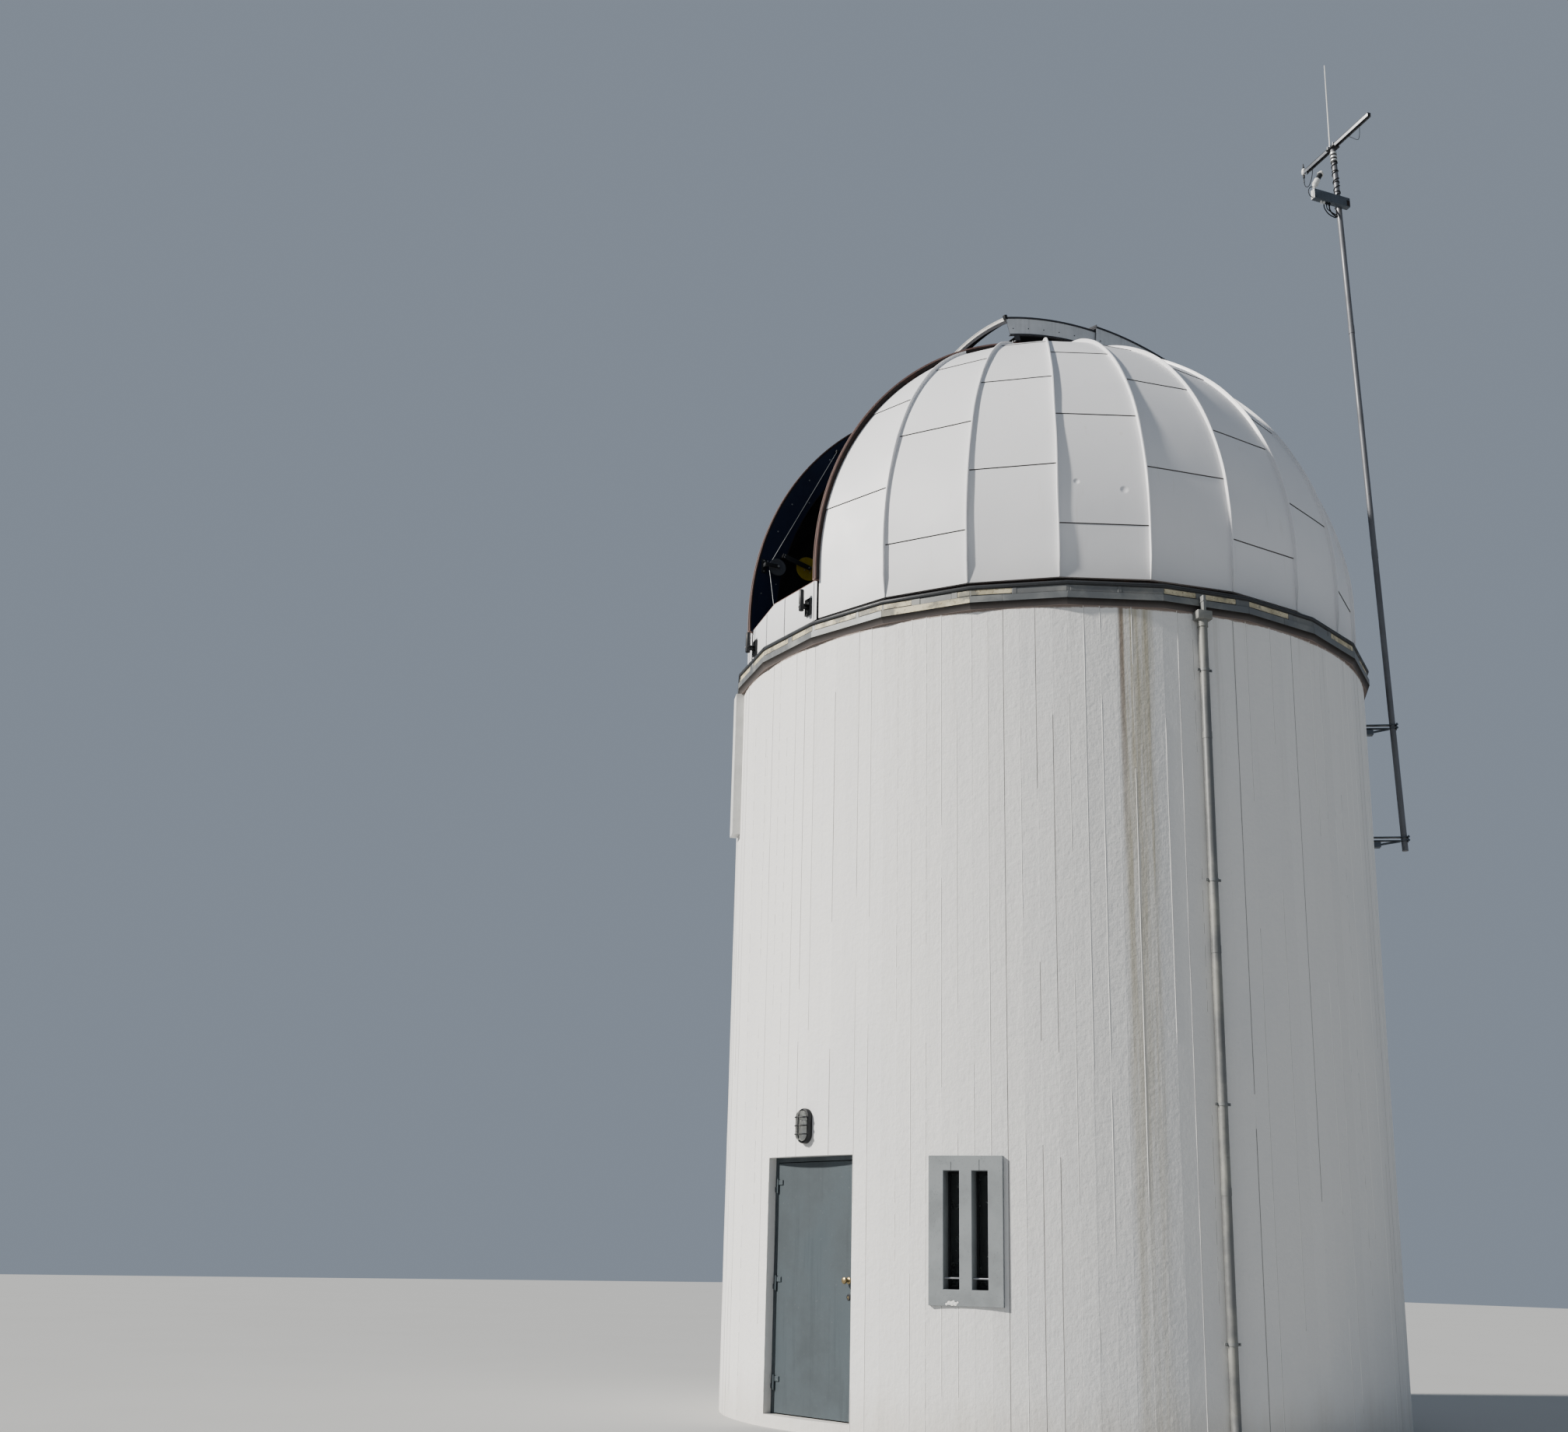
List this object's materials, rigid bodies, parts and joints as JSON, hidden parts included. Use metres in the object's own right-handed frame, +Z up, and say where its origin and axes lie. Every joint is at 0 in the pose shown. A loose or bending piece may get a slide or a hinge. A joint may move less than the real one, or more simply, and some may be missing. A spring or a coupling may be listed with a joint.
{
  "type": "observatory tower with a rotating dome",
  "caption": "Small round observatory: white concrete tower with steel door and eaves ring, and a white ribbed dome that turns, its slit open under two telescoping shutter leaves.",
  "frame": {"origin": "on the tower's vertical axis at ground level", "axes": "+Z up, the door faces -Y, +X is to the right of someone who faces the door; at rest the slit looks 16 degrees from -Y towards -X"},
  "size_m": [6.29, 6.3313, 14.2415],
  "materials": {
    "wall_concrete": "white paint on board-marked concrete, weathered",
    "plate_concrete": "bare fair-faced concrete",
    "slab_concrete": "trowelled concrete",
    "zinc_sheet": "weathered grey sheet",
    "dome_paint": "white satin paint, slightly dirty",
    "rusty_steel": "dark paint with rust",
    "shutter_paint": "weathered light grey paint",
    "door_paint": "grey-blue satin paint",
    "galvanised_steel": "galvanised",
    "dark_metal": "dark grey paint",
    "yellow_paint": "satin paint",
    "knob_brass": "worn",
    "window_glass": "clear",
    "lamp_glass": "ribbed, slightly frosted",
    "white_plastic": "weathered"
  },
  "bodies": {
    "tower": {"wall_under_door": "wall_concrete", "wall_over_door": "wall_concrete", "wall_under_window": "wall_concrete", "wall_over_window": "wall_concrete", "wall_pier": "wall_concrete", "wall_1": "wall_concrete", "wall_2": "wall_concrete", "wall_3": "wall_concrete", "wall_4": "wall_concrete", "wall_5": "wall_concrete", "wall_6": "wall_concrete", "wall_7": "wall_concrete", "wall_8": "wall_concrete", "floor_slab": "slab_concrete", "roller_ring": "galvanised_steel", "door_frame": "door_paint", "window_plate": "plate_concrete", "window_glass": "window_glass", "lamp_housing": "dark_metal", "lamp_glass": "lamp_glass", "eaves_ring": "zinc_sheet", "downpipe": "zinc_sheet", "cable_trunking": "white_plastic", "mast_pole": "galvanised_steel", "mast_bracket_low": "galvanised_steel", "mast_bracket_high": "galvanised_steel", "mast_cross_arm": "galvanised_steel", "mast_aerial": "white_plastic", "mast_sensor": "white_plastic", "mast_instrument_box": "dark_metal", "mast_instrument_tube": "white_plastic"},
    "door": {"door_leaf": "door_paint", "door_knob": "knob_brass"},
    "dome": {"dome_panel_right_1": "dome_paint", "dome_panel_right_2": "dome_paint", "dome_panel_right_3": "dome_paint", "dome_panel_right_4": "dome_paint", "dome_panel_right_5": "dome_paint", "dome_panel_left_1": "dome_paint", "dome_panel_left_2": "dome_paint", "dome_panel_left_3": "dome_paint", "dome_panel_left_4": "dome_paint", "dome_panel_left_5": "dome_paint", "slit_girder_right": "rusty_steel", "slit_girder_left": "rusty_steel", "dome_base_ring": "galvanised_steel", "slit_apron": "dome_paint", "dome_rear_strip": "dome_paint", "shutter_stop_right": "dark_metal", "shutter_stop_left": "dark_metal", "drive_disc": "yellow_paint", "drive_bracket": "dark_metal", "cable_pulley": "galvanised_steel", "shutter_cable": "dark_metal"},
    "shutter_front": {"shutter_front_leaf": "shutter_paint"},
    "shutter_rear": {"shutter_rear_leaf": "shutter_paint"}
  },
  "joints": [
    {"name": "dome_rotation", "type": "hinge", "parent": "tower", "child": "dome", "pos_m": [0, 0, 7], "axis": [0, 0, 1], "continuous": true},
    {"name": "shutter_front_travel", "type": "hinge", "parent": "dome", "child": "shutter_front", "pos_m": [0, 0, 7.515], "axis": [0.9613, -0.2756, 0], "range_deg": [0, 75]},
    {"name": "shutter_rear_travel", "type": "hinge", "parent": "dome", "child": "shutter_rear", "pos_m": [0, 0, 7.515], "axis": [0.9613, -0.2756, 0], "range_deg": [0, 45]},
    {"name": "door_swing", "type": "hinge", "parent": "tower", "child": "door", "pos_m": [-0.4897, -2.97, 1.15], "axis": [0, 0, -1], "range_deg": [0, 100]}
  ],
  "couplings": [
    {"joint": "shutter_rear_travel", "follows": "shutter_front_travel", "ratio": 0.6}
  ]
}
